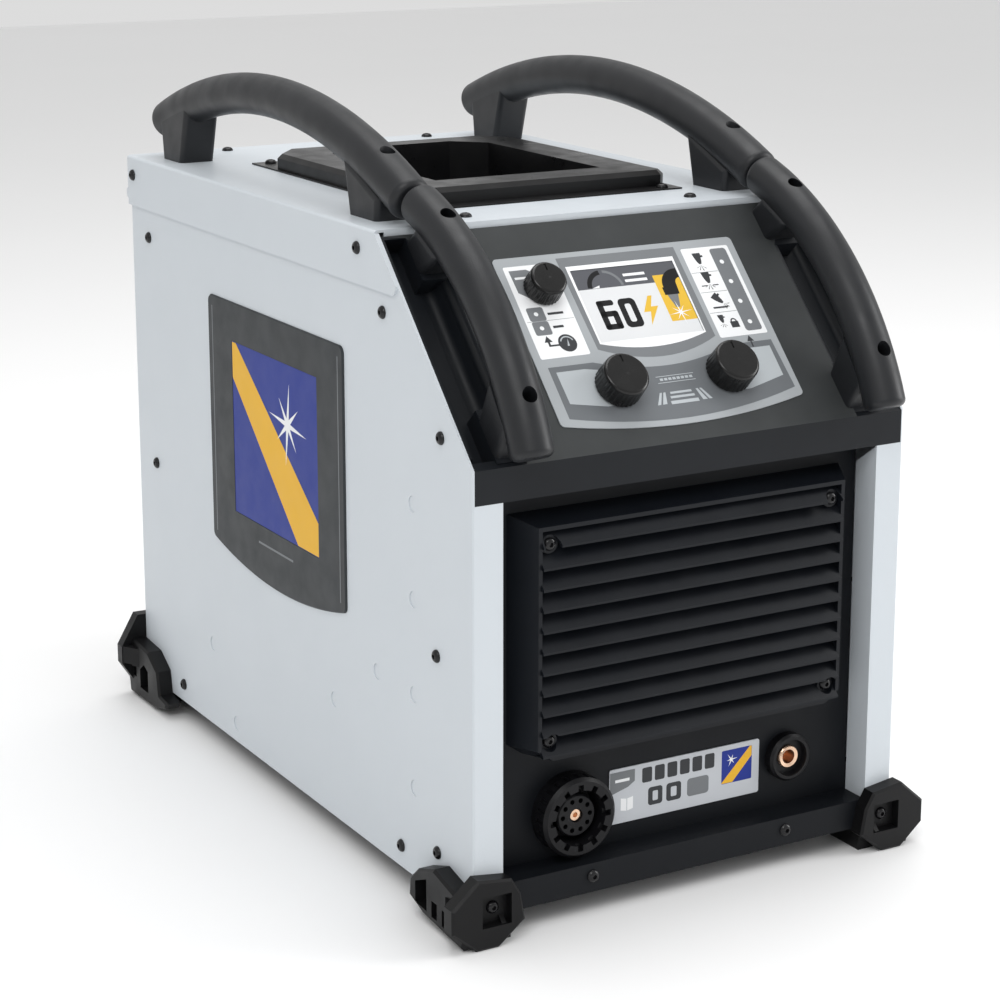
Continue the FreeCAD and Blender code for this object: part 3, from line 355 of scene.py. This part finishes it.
def print_piece(name, material, plates, spot, low, high):
    """One printed colour: plates lying on a face, riding on the case."""
    shape = bmesh.new()
    for rings in plates:
        add_plate(shape, rings, low, high, spot)
    bmesh.ops.recalc_face_normals(shape, faces=shape.faces)
    mesh = bpy.data.meshes.new(name)
    shape.to_mesh(mesh)
    shape.free()
    piece = bpy.data.objects.new(name, mesh)
    bpy.context.scene.collection.objects.link(piece)
    mesh.materials.append(material)
    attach(piece, CASE)


def print_on_label(name, material, plates, lift):
    print_piece(name, material, plates, on_slant, LABEL_FACE, LABEL_FACE + lift)


def print_on_screen(name, material, plates, lift):
    print_piece(name, material, plates, on_slant, PANE_FACE, PANE_FACE + lift)


def print_on_plate(name, material, plates, lift):
    print_piece(name, material, plates, on_name_plate, 0.0, lift)


WINDOW = bar(-36, 71, 36, 122)
LEFT_PANEL = (-79, 64.5, -45.8, 128.8)
RIGHT_PANEL = (45, 64.5, 79.2, 129.2)
ROW_MIDDLES = (118, 103.5, 89, 74)


def torch_icon(x, y, size=1.0, lean=0.0):
    """A small cutting torch over a spark, as plates about a middle point."""
    def at(points):
        turn = math.radians(lean)
        return [(x + size * (px * math.cos(turn) - py * math.sin(turn)),
                 y + size * (px * math.sin(turn) + py * math.cos(turn))) for px, py in points]
    sparks = [at([(0, -1.8), (math.cos(angle) * 3.4 - 0.3, -1.8 + math.sin(angle) * 3.4),
                  (math.cos(angle) * 3.4 + 0.3, -1.8 + math.sin(angle) * 3.4)])
              for angle in (3.6, 4.2, 4.9, 5.6)]
    head = at([(-2.6, 6), (2.4, 6), (2.4, 4.4), (3.4, 4.4), (3.4, 3.2), (2, 3.2), (1.4, 0.6),
               (0.7, -1), (-0.7, -1), (-1.5, 0.6), (-2.2, 3.2)])
    return [[head]] + [[spark] for spark in sparks]


def spark(x, y, long, short, rays):
    """A star of long and short rays."""
    points = []
    for index in range(rays * 2):
        angle = math.pi * index / rays + 0.12
        reach = long * (1.0 if index % 4 == 0 else 0.72) if index % 2 == 0 else short
        points.append((x + reach * math.cos(angle), y + reach * math.sin(angle)))
    return points


def label_art():
    mid = [[[(-42, 131.5), (41, 131.5), (42, 66.5)] + curve((42, 66.5), (0, 57.2), (-40, 66.8))[1:],
            WINDOW]]
    tag = [[[(-76, 126), (-64.5, 126), (-57, 121.5), (-57, 100.5), (-66, 103.5), (-75.5, 110.5)]]]
    band_top = [(-77, 58.7), (-47, 58.7)] + curve((-38, 56), (0, 50.8), (38, 56)) + [(47, 59.5),
                (79, 59.5)]
    band_low = curve((80.3, 25.5), (0, 14.8), (-77, 24))
    band = [[band_top + band_low]]
    cells = [[bar(-75.4, 90.2, -64.4, 99.6, 1.4)], [bar(-75.4, 80.4, -64.4, 89.8, 1.4)],
             [bar(65, 67.2, 76.8, 127.4, 2.0)]]
    surround = [(-37.9, 125), (37.5, 125), (36.9, 70)]
    surround += curve((36.9, 70), (0, 64.3), (-37, 70.2))[1:]
    white = [[surround, WINDOW], [bar(*LEFT_PANEL, 1.2)], [bar(*RIGHT_PANEL, 1.2)]]
    tags = [[[(-73, 55), (-54, 55), (-46, 53.5), (-30, 50), (-30, 30), (-49, 28.8), (-72.6, 33.6)]],
            [[(76, 55.4), (57, 55.4), (46, 53.5), (33, 50), (33, 28), (50, 28.2), (76, 34.4)]]]
    print_on_label("label_fields", MID_GREY, mid, 0.03)
    print_on_label("label_band", DEEP_GREY, band, 0.03)
    print_on_label("label_white", WHITE, white, 0.05)
    print_on_label("label_tags", PALE, tags, 0.05)
    print_on_label("label_cells", MID_GREY, cells + tag, 0.07)
    dots = [[disc((-70, 95), 1.4)], [disc((-70, 85.2), 1.4)]]
    dots += [[disc((70.3, row - 0.5), 1.5)] for row in ROW_MIDDLES]
    dots += [[bar(-74, 119.6, -66, 121.2)]]
    print_on_label("label_lamps", WHITE, dots, 0.1)
    dark = [[bar(-62.5, 93.6, -52, 95.2)], [bar(-62.5, 84.4, -55.5, 86)],
            [disc((-57.6, 73.6), 6)],
            [[(-63, 72.3), (-63, 73.5), (-68.8, 73.5), (-68.8, 75.6), (-70.2, 75.6),
              (-70.2, 72.3)]],
            [[(-72.2, 75.4), (-66.8, 75.4), (-69.5, 79.6)]],
            [[(64.1, 56), (65.1, 56), (65.1, 60.2), (64.1, 60.2)]],
            [[(62.2, 60), (67, 60), (64.6, 64)]]]
    dark += torch_icon(54.5, 118.5, 1.15) + torch_icon(54.5, 104.5, 1.15)
    dark += torch_icon(57, 89.5, 1.1, 38) + torch_icon(51.5, 75.5, 0.8)
    dark += [[bar(48.5, 101.3, 52.6, 102)], [bar(56.4, 101.3, 60.5, 102)],
             [bar(49.5, 85, 60, 86.2)], [bar(56.4, 70.6, 62, 75)],
             [arc((59.2, 75), 2.2, 0, 180) + arc((59.2, 75), 1.3, 180, 0)]]
    print_on_label("label_icons", CHARCOAL, dark, 0.09)
    thin = [[bar(-78, 89.9, -46.5, 90.15)], [bar(45.5, 111.2, 64.6, 111.5)],
            [bar(45.5, 96.8, 64.6, 97.1)], [bar(45.5, 82, 64.6, 82.3)]]
    print_on_label("label_rules", MID_GREY, thin, 0.06)
    swoosh = []
    for side in (-1, 1):
        for foot, top, wide in ((19, 13, 2.2), (15.5, 10.5, 3)):
            swoosh.append([[(side * foot + 2, 25.2), (side * (foot - wide) + 2, 25.2),
                            (side * top + 2, 33), (side * (top + 1.4) + 2, 33)]])
    light = [[bar(-10.5, 43.5, 15.5, 43.9)], [bar(-10.5, 39.2, 15.5, 39.6)],
             [bar(-5.4, 31.5, 9.2, 32.9)], [bar(-6.4, 28.5, 10.2, 30)],
             [bar(-7.5, 24.6, 11.6, 26.8)]]
    light += [[bar(-8.4 + 2.9 * index, 40.8, -6.3 + 2.9 * index, 42.4)] for index in range(8)]
    gauge = [[arc((-57.6, 73.6), 4.7, 20, 160) + arc((-57.6, 73.6), 3.9, 160, 20)],
             [[(-58.3, 71.6), (-56.9, 71.6), (-56.6, 76.6)]]]
    print_on_label("label_marks", PALE, light + swoosh + gauge, 0.11)


def digit_six(x, y):
    """A bold six 12 wide and 20.4 high, as overlapping bars."""
    return [[bar(x, y, x + 4, y + 20.4, 1.6)], [bar(x, y + 16.6, x + 11.6, y + 20.4, 1.6)],
            [bar(x, y + 9, x + 12, y + 12.8, 1.6)], [bar(x, y, x + 12, y + 3.8, 1.6)],
            [bar(x + 8, y, x + 12, y + 12.8, 1.6)]]


def digit_zero(x, y):
    return [[bar(x, y, x + 12, y + 20.4, 3.2), bar(x + 3.9, y + 3.8, x + 8.1, y + 16.6, 1.4)]]


def display_art():
    print_on_screen("screen_field", SCREEN, [[bar(-35.8, 71.2, 35.8, 108)]], 0.03)
    print_on_screen("screen_band", SCREEN_BAND, [[bar(-35.8, 108, 35.8, 121.8)]], 0.03)
    bolt = [(8.5, 99.4), (1.5, 88.4), (6.2, 88.4), (3.2, 79.2), (12.8, 91.8), (7.8, 91.8),
            (11.4, 99.4)]
    amber = [[bar(17.8, 80, 35.8, 113)], [bolt]]
    print_on_screen("screen_amber", SCREEN_AMBER, amber, 0.05)
    centre = (-16, 108)
    black = [[arc(centre, 12.6, 176, 96) + arc(centre, 9.6, 96, 176)],
             [[(21, 98.5), (31.2, 98.5), (31.8, 106)] + arc((35.8, 106), 4, 180, 90, 8)
              + [(35.8, 116.5)] + arc((34.5, 104), 12.5, 90, 180, 10) + [(21, 104)]]]
    black += digit_six(-28, 79) + digit_zero(-13.5, 79)
    print_on_screen("screen_black", BLACK, black, 0.08)
    bright = [[[(-26, 108.3), (-21, 108.3), (-20.5, 110)]], [bar(-1.8, 114.6, 13.4, 116.4)],
              [bar(-1.8, 110.4, 13.6, 112.2)],
              [spark(26.3, 85.6, 8.6, 1.1, 8)]]
    print_on_screen("screen_bright", WHITE, bright, 0.1)
    grey = [[arc(centre, 12.4, 84, 4) + arc(centre, 10.6, 4, 84)],
            [[(22.4, 98.5), (30, 98.5), (27.6, 89.4), (24.8, 89.4)]]]
    print_on_screen("screen_grey", MID_GREY, grey, 0.06)


def name_plate_art():
    dark = [[bar(-23 + 9 * index, 51.8, -16 + 9 * index, 61.2, 1.2)] for index in range(6)]
    dark += [[bar(-18.6, 36.6, -8.4, 48, 2.0), bar(-15.4, 39.2, -11.6, 45.4, 0.8)],
             [bar(-5.6, 36.6, 5, 48, 2.0), bar(-2.4, 39.2, 1.8, 45.4, 0.8)]]
    print_on_plate("plate_dark", CHARCOAL, dark, 0.06)
    grey = [[[(-45.6, 62), (-28.2, 62), (-28.2, 54.5), (-33, 51.5), (-45.6, 48)]],
            [bar(9.4, 36.6, 25, 48, 2.2)]]
    print_on_plate("plate_grey", MID_GREY, grey, 0.05)
    print_on_plate("plate_blue", BLUE, [[bar(34.4, 39.4, 56.6, 60.8, 0.8)]], 0.04)
    stripe = [(34.4, 39.8), (42.4, 39.6), (56.4, 54.4), (56.4, 60.6), (55, 60.6), (34.4, 40.2)]
    print_on_plate("plate_amber", AMBER, [[stripe]], 0.06)
    light = [[spark(41.4, 54.4, 4.6, 0.9, 6)], [bar(-42, 55.4, -32, 57.2)],
             [[(-38, 37.4), (-34, 36.6), (-34, 44.2), (-38, 45)]],
             [[(-33.4, 36.6), (-29.4, 37.4), (-29.4, 45), (-33.4, 44.2)]]]
    print_on_plate("plate_light", WHITE, light, 0.08)


def badge_art():
    for side, name in ((-1, "left"), (1, "right")):
        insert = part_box(f"badge_insert_{name}")
        back, front = insert[0][1], insert[1][1]
        low, high = insert[0][2], insert[1][2]
        face = insert[0][0] if side < 0 else insert[1][0]

        def spot(across, up, height, front_edge=back, floor=low, face=face, side=side):
            return Vector((face + side * height * MM, front_edge + across * MM, floor + up * MM))
        wide = (front - back) / MM
        tall = (high - low) / MM
        band = [[[(0.4, 0.4), (30, 0.4), (wide - 0.4, tall - 24), (wide - 0.4, tall - 0.4),
                  (wide - 6, tall - 0.4), (0.4, 22)]]]
        print_piece(f"badge_band_{name}", AMBER, band, spot, 0.0, 0.06)
        star = [[spark(wide * 0.34, tall * 0.66, 27, 4.2, 8)]]
        print_piece(f"badge_star_{name}", WHITE, star, spot, 0.0, 0.08)
        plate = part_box(f"badge_{name}")
        edge = plate[0][0] if side < 0 else plate[1][0]

        def outer(across, up, height, edge=edge, side=side, plate=plate):
            return Vector((edge + side * height * MM, plate[0][1] + across * MM,
                           plate[0][2] + up * MM))
        # Thin mid-grey strips on the badge plate: the two long upright ones near the edges are painted highlights
        # in place of light caught along the plate's edge grooves; the short level one is a plain grey line.
        strokes_and_highlights = [[bar(6.2, 18, 7.2, 172)], [bar(192.6, 18, 193.6, 172)],
                 [bar(74, 26, 126, 27.4)]]
        print_piece(f"badge_strokes_and_highlights_{name}", MID_GREY, strokes_and_highlights, outer, -0.02, 0.03)


# --- camera, light and floor ------------------------------------------------------------------


CAMERA_PLACE = (-0.7961, -1.40240, 0.6286)
CAMERA_YAW = 29.83
CAMERA_PITCH = 13.11
LENS = 90.55
FRAMING_SHIFT = -0.1
SKY_STRENGTH = 0.72
FLOOR_SIZE = 6.0


def make_camera():
    data = bpy.data.cameras.new("camera")
    data.sensor_width = 36.0
    data.lens = LENS
    data.shift_y = FRAMING_SHIFT
    data.clip_end = 20.0
    camera = bpy.data.objects.new("camera", data)
    yaw = math.radians(CAMERA_YAW)
    pitch = math.radians(CAMERA_PITCH)
    look = Vector((math.sin(yaw) * math.cos(pitch), math.cos(yaw) * math.cos(pitch),
                   -math.sin(pitch)))
    camera.location = CAMERA_PLACE
    camera.rotation_euler = look.to_track_quat("-Z", "Y").to_euler()
    bpy.context.scene.collection.objects.link(camera)
    bpy.context.scene.camera = camera


def area_light(name, place, target, size, power, colour=(1.0, 1.0, 1.0)):
    data = bpy.data.lights.new(name, "AREA")
    data.shape = "RECTANGLE"
    data.size, data.size_y = size
    data.energy = power
    data.color = colour
    light = bpy.data.objects.new(name, data)
    light.location = place
    aim = Vector(target) - Vector(place)
    light.rotation_euler = aim.to_track_quat("-Z", "Y").to_euler()
    bpy.context.scene.collection.objects.link(light)


def make_studio():
    world = bpy.data.worlds.new("studio")
    bpy.context.scene.world = world
    world.use_nodes = True
    sky = world.node_tree.nodes["Background"]
    sky.inputs["Color"].default_value = (1.0, 1.0, 1.0, 1.0)
    sky.inputs["Strength"].default_value = SKY_STRENGTH
    middle = (0.0, 0.0, 0.2)
    area_light("key", (-1.3, -1.6, 2.2), middle, (1.2, 1.2), 22)
    area_light("top", (0.2, 0.3, 2.4), middle, (1.6, 1.6), 24)
    area_light("right", (2.0, -1.0, 1.0), middle, (0.8, 1.6), 24)
    mesh = bpy.data.meshes.new("floor")
    shape = bmesh.new()
    bmesh.ops.create_grid(shape, x_segments=1, y_segments=1, size=FLOOR_SIZE)
    shape.to_mesh(mesh)
    shape.free()
    floor = bpy.data.objects.new("floor", mesh)
    bpy.context.scene.collection.objects.link(floor)
    ground = Shader("floor_white", (0.9, 0.9, 0.9), 0.6)
    ground.vary_colour(2.0, 0.004)
    mesh.materials.append(ground.material)
    bpy.context.scene.view_settings.view_transform = "Standard"


dress_frame()
label_art()
display_art()
name_plate_art()
badge_art()
make_camera()
make_studio()
